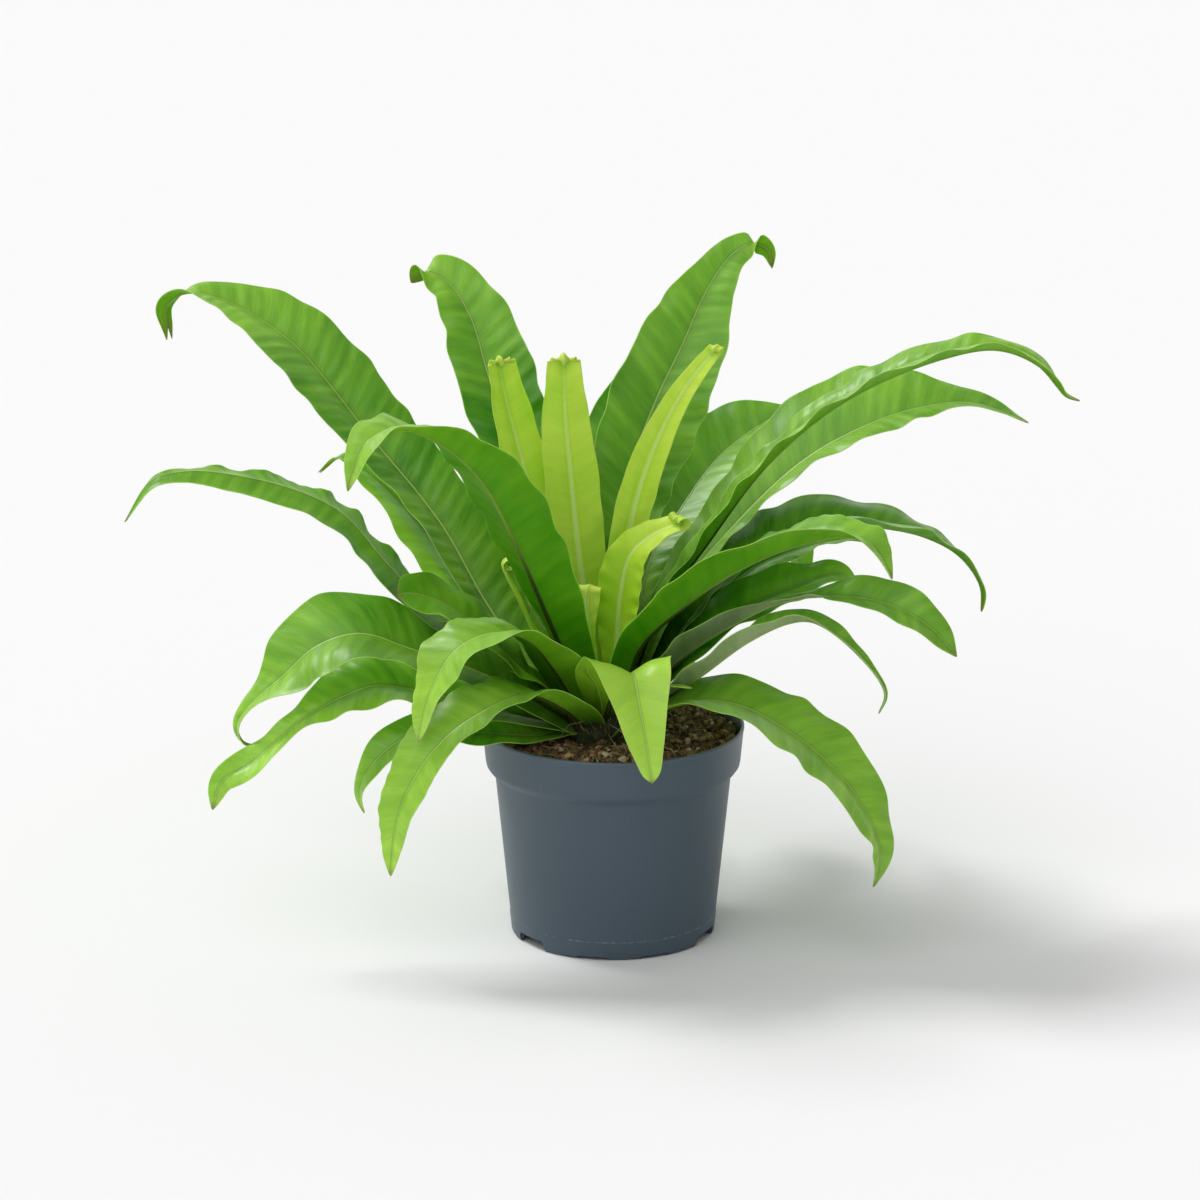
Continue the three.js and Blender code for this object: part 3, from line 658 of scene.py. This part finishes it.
def blade_group():
    tree = bpy.data.node_groups.new("blade_veins", "ShaderNodeTree")
    for name in ("Deep", "Light", "Rib", "Keel", "Margin", "Tip"):
        tree.interface.new_socket(name, in_out="INPUT", socket_type="NodeSocketColor")
    for name in ("Rib Width", "Keel Length", "Vein Contrast"):
        tree.interface.new_socket(name, in_out="INPUT", socket_type="NodeSocketFloat")
    tree.interface.new_socket("Color", in_out="OUTPUT", socket_type="NodeSocketColor")
    tree.interface.new_socket("Relief", in_out="OUTPUT", socket_type="NodeSocketFloat")
    tree.interface.new_socket("Sheen Mask", in_out="OUTPUT", socket_type="NodeSocketFloat")
    given = tree.nodes.new("NodeGroupInput").outputs
    result = tree.nodes.new("NodeGroupOutput").inputs
    sizes = node(tree, "SeparateXYZ", {0: node(tree, "UVMap", uv_map="sizes").outputs[0]})
    shares = node(tree, "SeparateXYZ", {0: node(tree, "UVMap", uv_map="shares").outputs[0]})
    centred = maths(tree, "SUBTRACT", sizes.outputs[0], 0.5)
    across = maths(tree, "MULTIPLY", maths(tree, "ABSOLUTE", centred), 100)
    along = maths(tree, "MULTIPLY", sizes.outputs[1], 100)
    doubled = maths(tree, "MULTIPLY", shares.outputs[0], 2)
    out = maths(tree, "ABSOLUTE", maths(tree, "SUBTRACT", doubled, 1))
    share = shares.outputs[1]
    place = node(tree, "TexCoord").outputs["Object"]
    patches = noisy(tree, place, 28, 2)
    slant = maths(tree, "SUBTRACT", along, maths(tree, "MULTIPLY", across, 0.5))
    squeezed = maths(tree, "MULTIPLY", across, 0.12)
    streak_place = node(tree, "CombineXYZ", {0: slant, 1: squeezed}).outputs[0]
    broad = noisy(tree, streak_place, 0.14, 1)
    fine = noisy(tree, streak_place, 0.9, 2, 0.6)
    tone = node(tree, "Attribute", attribute_name="tone").outputs["Fac"]
    strong = maths(tree, "MULTIPLY", given["Vein Contrast"], 0.9)
    slight = maths(tree, "MULTIPLY", given["Vein Contrast"], 0.5)
    for pattern, amount in ((patches, 0.5), (broad, strong), (fine, slight)):
        change = maths(tree, "MULTIPLY", maths(tree, "SUBTRACT", pattern, 0.5), amount)
        tone = maths(tree, "ADD", tone, change)
    tone = node(tree, "Clamp", {0: tone}).outputs[0]
    colour = mixed(tree, tone, given["Deep"], given["Light"])
    # Painted shade: each blade is darkened towards its crown end, where the other fronds shade it.
    shade = between(tree, share, 0.0, 0.28, 0.78, 1.0)
    grey = node(tree, "CombineColor", {0: shade, 1: shade, 2: shade}).outputs[0]
    colour = mixed(tree, 1.0, colour, grey, "MULTIPLY")
    taper = between(tree, share, 0.0, 1.0, 1.35, 0.5)
    rib_reach = maths(tree, "MULTIPLY", given["Rib Width"], taper)
    rib_mask = between(tree, maths(tree, "SUBTRACT", across, rib_reach), -0.25, 0.2, 1, 0)
    # Painted shade: a dark line along each side of the midrib, at the edge of its groove.
    groove = maths(tree, "MULTIPLY", rib_reach, 2.1)
    rib_edge = maths(tree, "ABSOLUTE", maths(tree, "SUBTRACT", across, groove))
    colour = mixed(tree, between(tree, rib_edge, 0.05, 0.35, 0.35, 0), colour, given["Deep"])
    keel_fades = maths(tree, "MULTIPLY", given["Keel Length"], 0.6)
    past_keel = between(tree, share, keel_fades, given["Keel Length"])
    rib_colour = mixed(tree, past_keel, given["Keel"], given["Rib"])
    colour = mixed(tree, maths(tree, "MULTIPLY", rib_mask, 0.85), colour, rib_colour)
    half_width = maths(tree, "DIVIDE", across, maths(tree, "MAXIMUM", out, 0.02))
    to_margin = maths(tree, "SUBTRACT", half_width, across)
    near_margin = between(tree, to_margin, 0.15, 0.6, 1, 0)
    margin_mask = maths(tree, "MULTIPLY", near_margin, between(tree, out, 0.6, 0.8))
    colour = mixed(tree, maths(tree, "MULTIPLY", margin_mask, 0.7), colour, given["Margin"])
    frayed = maths(tree, "ADD", share, maths(tree, "MULTIPLY", fine, 0.02))
    tip_mask = between(tree, frayed, 0.98, 1.01)
    colour = mixed(tree, maths(tree, "MULTIPLY", tip_mask, 0.6), colour, given["Tip"])
    raised_rib = maths(tree, "MULTIPLY", rib_mask, 0.8)
    relief = maths(tree, "ADD", maths(tree, "MULTIPLY", fine, 0.3), raised_rib)
    relief = maths(tree, "ADD", relief, maths(tree, "MULTIPLY", broad, 0.8))
    tree.links.new(colour, result["Color"])
    tree.links.new(relief, result["Relief"])
    tree.links.new(between(tree, fine, 0.3, 0.7), result["Sheen Mask"])
    return tree


BLADE_VEINS = blade_group()


def blade_material(name, colours, rib_width, keel_length, contrast, gloss, relief,
                   polish):
    material, tree, shader = new_material(name)
    veins = tree.nodes.new("ShaderNodeGroup")
    veins.node_tree = BLADE_VEINS
    for key, value in colours.items():
        veins.inputs[key].default_value = (*value, 1)
    veins.inputs["Rib Width"].default_value = rib_width
    veins.inputs["Keel Length"].default_value = keel_length
    veins.inputs["Vein Contrast"].default_value = contrast
    tree.links.new(veins.outputs["Color"], shader.inputs["Base Color"])
    roughness = between(tree, veins.outputs["Sheen Mask"], 0, 1, gloss, gloss + 0.1)
    tree.links.new(roughness, shader.inputs["Roughness"])
    bumped(tree, shader, veins.outputs["Relief"], relief)
    shader.inputs["Specular IOR Level"].default_value = polish
    shader.inputs["Subsurface Weight"].default_value = 0.35
    shader.inputs["Subsurface Radius"].default_value = (0.4, 1.0, 0.06)
    shader.inputs["Subsurface Scale"].default_value = 0.0018
    return material


UPPER = {"Deep": (0.04, 0.21, 0.002), "Light": (0.44, 0.74, 0.07), "Rib": (0.46, 0.66, 0.18),
         "Keel": (0.12, 0.25, 0.02), "Margin": (0.45, 0.66, 0.14), "Tip": (0.2, 0.15, 0.04)}
UNDER = {"Deep": (0.05, 0.24, 0.001), "Light": (0.27, 0.5, 0.02), "Rib": (0.22, 0.32, 0.05),
         "Keel": (0.025, 0.014, 0.008), "Margin": (0.38, 0.58, 0.08), "Tip": (0.2, 0.13, 0.03)}
PALE = {"Deep": (0.2, 0.3, 0.1), "Light": (0.52, 0.6, 0.36), "Rib": (0.3, 0.42, 0.12),
        "Keel": (0.05, 0.04, 0.02), "Margin": (0.4, 0.56, 0.14), "Tip": (0.2, 0.13, 0.03)}
FRESH = {"Deep": (0.35, 0.66, 0.006), "Light": (0.7, 0.93, 0.11), "Rib": (0.68, 0.85, 0.26),
         "Keel": (0.28, 0.5, 0.03), "Margin": (0.55, 0.75, 0.12), "Tip": (0.55, 0.75, 0.1)}
mature_upper = blade_material("mature_upper", UPPER, 0.5, 0.2, 0.65, 0.34, 0.0003, 0.42)
mature_under = blade_material("mature_under", UNDER, 0.95, 0.5, 0.5, 0.5, 0.00025, 0.15)
pale_under = blade_material("pale_under", PALE, 0.8, 0.3, 0.6, 0.5, 0.00025, 0.25)
young_upper = blade_material("young_upper", FRESH, 1.3, 0.1, 0.6, 0.42, 0.0002, 0.25)
young_under = blade_material("young_under", FRESH, 1.3, 0.3, 0.6, 0.5, 0.0002, 0.12)
MATURE_LOOKS = (mature_upper, mature_under)
YOUNG_LOOKS = (young_upper, young_under)

# The young fronds and the two croziers: new soft blades in the middle of the rosette, a fresh
# yellow green, still upright and rolled inwards at the tip, which opens last. They grow from the
# crown's top.
young = dict(looks=YOUNG_LOOKS, slot="young_frond")
soft = dict(outline=YOUNG, ripple=0.12, wave=0.8, **young)
grow_frond(
    "young_frond_middle", seat=(98, 78), facing=95, width=28, fold=[12, 12, 12, 18, 46],
    coil=(3.4, 470, 0.5),
    along=[(-11, 11, 147), (-13, 13, 162), (-17, 17, 190), (-21, 21, 229.5), (-24, 24, 261.5),
           (-25, 26, 290.5)],
    tone=(0.25, 0.5, 0.8), rib=1.4, **soft)
grow_frond(
    "young_frond_left", seat=(140, 64), facing=120, width=27, fold=[20, 20, 20, 26, 48],
    coil=(3, 450, 0.5),
    along=[(-28, 16, 177), (-38, 24, 209), (-47, 31, 241), (-54, 36, 267), (-58, 38, 286)],
    tone=(0.25, 0.4, 0.7), **soft)
grow_frond(
    "young_frond_right", seat=(40, 70), facing=78, width=19, fold=24, coil=(2.6, 400, 0.5),
    along=[(3, 5, 162), (5, 8, 186.5), (11, 13, 218.5), (22, 18, 250.5), (36, 22, 276.5),
           (51, 25, 295.5)],
    tone=(0.2, 0.5, 0.8), outline=[0.3, 0.6, 0.95, 1, 0.74, 0.42], ripple=0.12, wave=0.8, **young)
grow_frond(
    "young_frond_bent", seat=(-20, 70), facing=60, width=25, fold=20, coil=(3, 360, 0.5),
    along=[(2, -4, 152.5), (4, -5, 178.5), (9, -6, 198.5), (20, -6, 208.5), (33, -6, 214)],
    tone=(0.3, 0.2, 0.7), outline=[0.3, 0.6, 0.95, 1, 0.75, 0.45], ripple=0.12, wave=1.3,
    wave_length=10, **young)
grow_frond(
    "crozier_middle", seat=(-110, 72), width=14, fold=10, coil=(3.2, 400, 0.5),
    along=[(-11, -9, 146.5), (-13, -10, 164.5), (-13, -10, 179.5)],
    tone=(0.1, 0.5, 0.9), outline=[0.5, 0.4, 0.45, 0.5, 0.75, 1], ripple=0.1, wave=1.6,
    wave_length=9, **young)
grow_frond(
    "crozier_left", seat=(180, 64), width=10, fold=20, coil=(3.8, 460, 0.45),
    along=[(-37, -2, 153), (-48, -4, 175.5), (-55, -5, 191)],
    tone=(0, 0.05, 0.7), **soft)

# The tall fronds: full-grown leathery blades that stand up at the back of the rosette. Each rises
# from the crown on its own midrib, which carries the weight, and only the tip bends over.
mature = dict(looks=MATURE_LOOKS)
grow_frond(
    "tall_frond_left", seat=(152, 58), facing=128, width=49,
    outline=[0.35, 0.5, 0.64, 0.76, 0.8, 0.92, 1, 0.94, 0.46, 0.13], wave=0.9, ripple=0.8,
    sides=((1.3, 1.35, 1.3, 1.1, 1, 1), (0.8, 0.76, 0.8, 0.95, 1, 1)),
    along=[(-55, 25, 150.5), (-88, 50, 199.5), (-123, 70, 238.5), (-164, 88, 284), (-197, 97, 303),
           (-218, 98, 307), (-228, 97, 300), (-227, 96, 289)],
    tone=(0.32, 0.24, 0.55), fork=7, **mature)
grow_frond(
    "tall_frond_back_left", seat=(118, 50), facing=96, width=47,
    outline=[0.4, 0.5, 0.62, 0.74, 0.98, 1, 0.72, 0.26],
    sides=((1, 1), (0.7, 0.5, 0.55, 0.7, 0.8, 0.9)), ripple=0.7,
    along=[(-41, 46, 201.5), (-52, 62, 233.5), (-64, 80, 270.5), (-73, 92, 297), (-84, 100, 312),
           (-97, 103, 317), (-103, 104, 311)],
    tone=(0.1, 0.12, 0.6), **mature)
grow_frond(
    "tall_frond_back_right", seat=(74, 48), facing=92, width=48,
    outline=[0.4, 0.55, 0.72, 0.88, 1, 0.9, 0.45, 0.1], wave=1.3, ripple=0.8,
    sides=((1, 1.15, 1.15, 1, 1), (1, 1)),
    along=[(-1, 28, 186), (7, 46, 222.5), (22, 62, 260.5), (35, 74, 285.5), (49, 88, 313.5),
           (62, 96, 329), (72, 98, 333), (79, 98, 329), (81, 97, 320)],
    tone=(0.15, 0.32, 0.5), **mature)
grow_frond(
    "frond_behind_middle", seat=(84, 30), facing=98, width=42,
    along=[(-3, 60, 179), (1, 83, 225), (9, 97, 253), (22, 105, 274.5), (34, 111, 282.5)],
    tone=(0.1, 0.25, 0.3), **mature)
grow_frond(
    "frond_back_right", seat=(40, 44), facing=75, width=54,
    outline=[0.4, 0.52, 0.64, 0.86, 1, 1, 0.8, 0.2],
    along=[(19, 40, 182.5), (34, 60, 202.5), (52, 80, 223), (68, 92, 234), (83, 100, 241.5),
           (91, 104, 245.5)],
    tone=(0.1, 0.35, 0.4), **mature)

# The long fronds: full-grown leathery blades that arch out to both sides from the crown. The
# midrib bends under the blade's weight, and most of them fold up along it like a gutter.
grow_frond(
    "long_frond_right", seat=(4, 56), width=46,
    outline=[0.4, 0.55, 0.66, 0.68, 0.68, 0.8, 0.5, 0.1], fold=40, wave=(1.9, 1.2), crimp=(1.2, 0),
    sides=((1, 1), (0.8, 0.7, 0.7, 0.75, 0.9, 1)),
    along=[(23, -2, 167.5), (46, 0, 201.5), (78, 4, 243.5), (117, 6, 275), (164, 8, 295),
           (191, 9, 299), (211, 9, 291), (221, 8, 280), (225, 8, 275.5), (232, 8, 273.5)],
    tone=(0.2, 0.4, 0.5), **mature)
grow_frond(
    "frond_right_under", seat=(22, 42), width=54, outline=[0.35, 0.5, 0.68, 0.8, 1, 1, 0.42, 0.07],
    fold=[35, 35, 30, 20, 15], roll=[0, 5, 15, 22, 15],
    sides=((0.9, 0.6, 0.45, 0.45, 0.55, 0.8), (1, 1, 1.1, 1.25, 1.3, 1.2)),
    along=[(34, 17, 172), (54, 26, 196), (94, 39, 233), (127, 48, 250), (155, 56, 257.5),
           (182, 62, 258.5), (211, 65, 247.5)],
    tone=(0.2, 0.45, 0.3), **mature)
grow_frond(
    "frond_left_under", seat=(162, 40), facing=138, width=42, fold=12,
    along=[(-56, 26, 148.5), (-83, 44, 178.5), (-103, 56, 201.5), (-123, 66, 219.5),
           (-139, 70, 228), (-146, 70, 223)],
    tone=(0.3, 0.75, 0.95), fork=6, **mature)
grow_frond(
    "long_frond_left", seat=(186, 46), width=36,
    outline=[0.4, 0.7, 0.95, 0.8, 0.7, 0.64, 0.4, 0.09], roll=[0, -15, -22, -22, -10],
    fold=[22, 5, -18, -26, -28], wave=(2.6, 0.5), crimp=(2.2, 0),
    along=[(-65, 3, 147), (-98, 0, 175.5), (-116, -8, 198.5), (-133, -18, 222), (-153, -26, 235.5),
           (-183, -32, 245.5), (-210, -38, 249.5), (-227, -42, 245.5), (-240, -45, 225.5)],
    tone=(0.1, 0.3, 0.35), **mature)
grow_frond(
    "inner_frond_left", seat=(208, 58), facing=234, width=52, fold=28,
    sides=((0.4, 0.45, 0.85, 1, 1, 1), (1, 1)),
    along=[(-31, -22, 167), (-49, -38, 214.5), (-65, -52, 249), (-84, -66, 270.5),
           (-103, -80, 281.5), (-118, -92, 279), (-128, -100, 256)],
    tone=(0.1, 0.15, 0.6), **mature)
grow_frond(
    "broad_frond_right", seat=(-34, 46), width=50,
    outline=[0.4, 0.55, 0.76, 1, 0.98, 0.82, 0.5, 0.1], fold=40, wave=(0.8, 1.9), crimp=(0, 2.2),
    along=[(13, -19, 152.5), (38, -29, 180), (62, -36, 198.5), (87, -42, 211.5), (111, -46, 218.5),
           (126, -50, 215.5), (137, -53, 198.5)],
    tone=(0.15, 0.2, 0.6), **mature)

# The lower fronds on the right: older leathery blades from lower on the crown. Some arch and droop
# at the tip, and some turn over, so that the paler underside shows.
grow_frond(
    "tailed_frond_right", seat=(14, 30), width=52,
    outline=[0.4, 0.55, 0.72, 0.95, 1, 0.82, 0.28, 0.12], fold=30,
    along=[(44, 8, 167), (74, 16, 193), (104, 24, 205), (134, 30, 202), (157, 34, 196),
           (175, 36, 185.5), (186, 37, 169.5), (187, 37, 155.5)],
    tone=(0.1, 0.2, 0.35), **mature)
grow_frond(
    "low_frond_back_right", seat=(36, 22), width=34,
    along=[(44, 28, 155.5), (69, 40, 176.5), (94, 47, 185.5), (120, 52, 189.5), (130, 54, 187.5)],
    tone=(0.1, 0.3, 0.4), **mature)
grow_frond(
    "frond_right_middle", seat=(-2, 24), width=36, outline=[0.4, 0.62, 0.84, 1, 1, 0.9, 0.65, 0.14],
    roll=[0, 20, 25, 20],
    along=[(44, 0, 151.5), (66, 4, 167.5), (94, 8, 178.5), (113, 10, 183.5), (123, 11, 178)],
    tone=(0.1, 0.4, 0.45), **mature)
grow_frond(
    "twisted_frond_right", seat=(-18, 32), width=40,
    outline=[0.4, 0.62, 0.9, 0.95, 0.25, 0.42, 0.68, 0.55, 0.12], roll=[0, -10, -10, 25, 35],
    fold=30,
    along=[(33, -16, 146.5), (58, -22, 166), (85, -26, 180), (112, -29, 183), (137, -34, 180),
           (156, -38, 170), (170, -40, 155)],
    tone=(0.1, 0.3, 0.45), looks=(mature_upper, pale_under))
grow_frond(
    "thin_frond_right", seat=(-26, 30), width=26, fold=45,
    outline=[0.28, 0.55, 0.88, 1, 0.85, 0.5, 0.22, 0.08],
    along=[(42, -32, 142.5), (67, -42, 164), (87, -46, 174.5), (99, -49, 175.5), (121, -53, 159.5),
           (134, -56, 141), (131, -57, 130.5)],
    tone=(0.1, 0.3, 0.35), looks=(mature_upper, pale_under))
grow_frond(
    "front_frond_right", seat=(-60, 8), facing=-26, width=46, roll=[0, 6, 12, 10],
    outline=[0.4, 0.75, 0.95, 1, 0.98, 0.84, 0.5, 0.1],
    along=[(21, -29, 122.5), (43, -34, 130.5), (63, -38, 129), (83, -45, 120.5), (102, -52, 108),
           (121, -60, 88), (132, -66, 62), (129, -68, 44)],
    tone=(0.42, 0.48, 0.55), **mature)

# The lower fronds at the front and on the left: older leathery blades from the crown's edge. Most
# lean out over the pot's lip and hang down beside it, and one twists and one loops at the end.
grow_frond(
    "front_frond", seat=(-86, 32), width=46, outline=[0.3, 0.6, 0.95, 1, 0.82, 0.58, 0.38, 0.14],
    fold=30, wave=1,
    along=[(0, -36, 134), (7, -52, 149.5), (10, -66, 152.5), (13, -78, 139.5), (16, -84, 124.5),
           (19, -86, 104)],
    tone=(0.6, 0.95, 1), **mature)
grow_frond(
    "tiny_frond", seat=(-66, 30), width=5, outline=[0.5, 0.8, 1, 0.9, 0.4], fold=20, wave=0.4,
    along=[(13, -38, 133.5), (27, -44, 141), (39, -46, 141)],
    tone=(0.6, 0.8), **mature)
grow_frond(
    "front_frond_left", seat=(226, 36), facing=222, width=40, fold=18, crimp=(1.6, 0.4),
    outline=[0.8, 1.1, 1.15, 1.02, 1, 0.86, 0.5, 0.1],
    sides=((1.3, 1.3, 1.1, 1, 1, 1), (0.9, 0.95, 1, 1, 1, 1)),
    along=[(-28, -26, 142.5), (-44, -42, 166), (-62, -56, 171.5), (-78, -66, 165.5),
           (-90, -72, 145.5), (-96, -74, 121.5)],
    tone=(0.55, 0.5, 0.8), **mature)
grow_frond(
    "low_front_frond_left", seat=(240, 22), facing=236, width=38, crimp=(1.4, 0.6),
    outline=[0.6, 0.95, 1, 1, 0.94, 0.78, 0.48, 0.1], sides=((1, 1), (1, 0.85, 0.66, 0.7, 0.9, 1)),
    along=[(-26, -36, 128), (-41, -46, 137.5), (-58, -58, 135.5), (-80, -68, 124), (-96, -74, 106),
           (-106, -78, 84), (-110, -80, 54)],
    tone=(0.3, 0.6, 0.85), **mature)
grow_frond(
    "low_frond_left", seat=(222, 10), facing=212, width=26, roll=[0, -25, -20, 0],
    along=[(-37, -27, 110), (-66, -38, 115), (-91, -41, 117), (-107, -45, 112.5), (-121, -47, 99),
           (-126, -48, 87), (-124, -48, 76)],
    tone=(0.3, 0.4, 0.6), **mature)
grow_frond(
    "looped_frond_left", seat=(202, 24), width=54,
    outline=[0.6, 0.74, 0.8, 0.92, 0.97, 0.78, 0.25, 0.1], roll=[-30, -28, -25, 0],
    along=[(-67, -20, 141), (-101, -26, 155), (-126, -30, 164), (-147, -32, 158), (-164, -34, 143),
           (-181, -36, 128), (-187, -37, 118), (-184, -38, 110), (-177, -38, 108)],
    tone=(0.2, 0.3, 0.6), **mature)
# Painted highlight: this frond's tone is set light to stand in for the broad highlights on its
# glossy blade.
grow_frond(
    "twisted_frond_left", seat=(206, 14), width=46,
    outline=[0.6, 0.8, 0.95, 1, 0.75, 0.3, 0.38, 0.1], roll=[-15, -20, -20, -20, -60], ripple=0.9,
    along=[(-62, -20, 122.5), (-101, -28, 134.5), (-118, -33, 138), (-136, -37, 132.5),
           (-155, -42, 122.5), (-170, -46, 110.5), (-180, -49, 102), (-194, -51, 94),
           (-199, -52, 79)],
    tone=(0.4, 0.65, 0.8), **mature)
grow_frond(
    "short_frond_left", seat=(214, 36), width=42, outline=[0.4, 0.6, 0.85, 1, 1, 0.95, 0.8, 0.5],
    roll=[0, -30, -30], fold=12,
    along=[(-47, -17, 143.5), (-69, -21, 166), (-86, -21, 178), (-100, -24, 183), (-107, -26, 183)],
    tone=(0.2, 0.25, 0.3), looks=(mature_under, mature_under))

# The lower fronds at the back: the same leathery blades, on the side that the photo doesn't show.
# They are guessed: a rosette grows from the crown all round, and would be bare there otherwise.
grow_frond(
    "back_frond_right", seat=(54, 20), width=42,
    along=[(36, 52, 146), (60, 84, 172.5), (80, 112, 177), (94, 136, 161.5), (102, 152, 134)],
    tone=(0.1, 0.4, 0.6), **mature)
grow_frond(
    "back_frond_middle", seat=(92, 14), width=44,
    along=[(0, 62, 146), (6, 102, 178.5), (10, 142, 189.5), (14, 176, 176.5), (16, 196, 145)],
    tone=(0.1, 0.4, 0.5), **mature)
grow_frond(
    "back_frond_left", seat=(116, 22), width=42,
    along=[(-30, 58, 144), (-48, 94, 172.5), (-64, 128, 179), (-76, 154, 162), (-84, 170, 132.5)],
    tone=(0.1, 0.4, 0.6), **mature)
grow_frond(
    "low_back_frond_left", seat=(142, 16), width=40,
    along=[(-44, 36, 127), (-68, 58, 140.5), (-88, 78, 140.5), (-104, 94, 127.5), (-114, 104, 104)],
    tone=(0.2, 0.4, 0.7), **mature)
grow_frond(
    "low_back_frond_right", seat=(72, 4), width=38,
    along=[(12, 60, 119.5), (20, 92, 131.5), (28, 120, 124), (34, 140, 102), (37, 150, 78)],
    tone=(0.2, 0.4, 0.7), **mature)

# The studio: a wide pale floor, a white surround that is brighter behind the plant, a large soft
# lamp from the upper left, which throws the shadow to the right, and a wider, weaker one from the
# front.
deselect_all()
bpy.ops.mesh.primitive_circle_add(
    vertices=96, radius=40, fill_type="NGON", location=(0, 0, -0.0003)
)
floor = bpy.context.object
floor.name = "floor"
paper, tree, shader = new_material("white_floor")
shader.inputs["Base Color"].default_value = (0.9, 0.9, 0.9, 1)
shader.inputs["Roughness"].default_value = 0.9
shader.inputs["Specular IOR Level"].default_value = 0.1
floor.data.materials.append(paper)
world = bpy.data.worlds.new("surround")
bpy.context.scene.world = world
world.use_nodes = True
tree = world.node_tree
heading = node(tree, "SeparateXYZ", {0: node(tree, "TexCoord").outputs["Generated"]})
backdrop = maths(
    tree, "MULTIPLY", between(tree, heading.outputs[1], 0.1, 0.7),
    between(tree, heading.outputs[2], 0.4, 0.8, 1, 0),
)
brightness = maths(tree, "ADD", maths(tree, "MULTIPLY", backdrop, 0.65), 0.32)
tree.nodes["Background"].inputs["Color"].default_value = (1, 1, 1, 1)
tree.links.new(brightness, tree.nodes["Background"].inputs["Strength"])


def add_sun(towards, energy, width):
    turn = Vector(towards).to_track_quat("Z", "Y").to_euler()
    bpy.ops.object.light_add(type="SUN", rotation=turn)
    bpy.context.object.data.energy = energy
    bpy.context.object.data.angle = math.radians(width)


add_sun((-0.66, 0.36, 1), 1.83, 20)
add_sun((-0.4, -0.8, 1), 0.85, 60)
bpy.context.scene.view_settings.view_transform = "Standard"
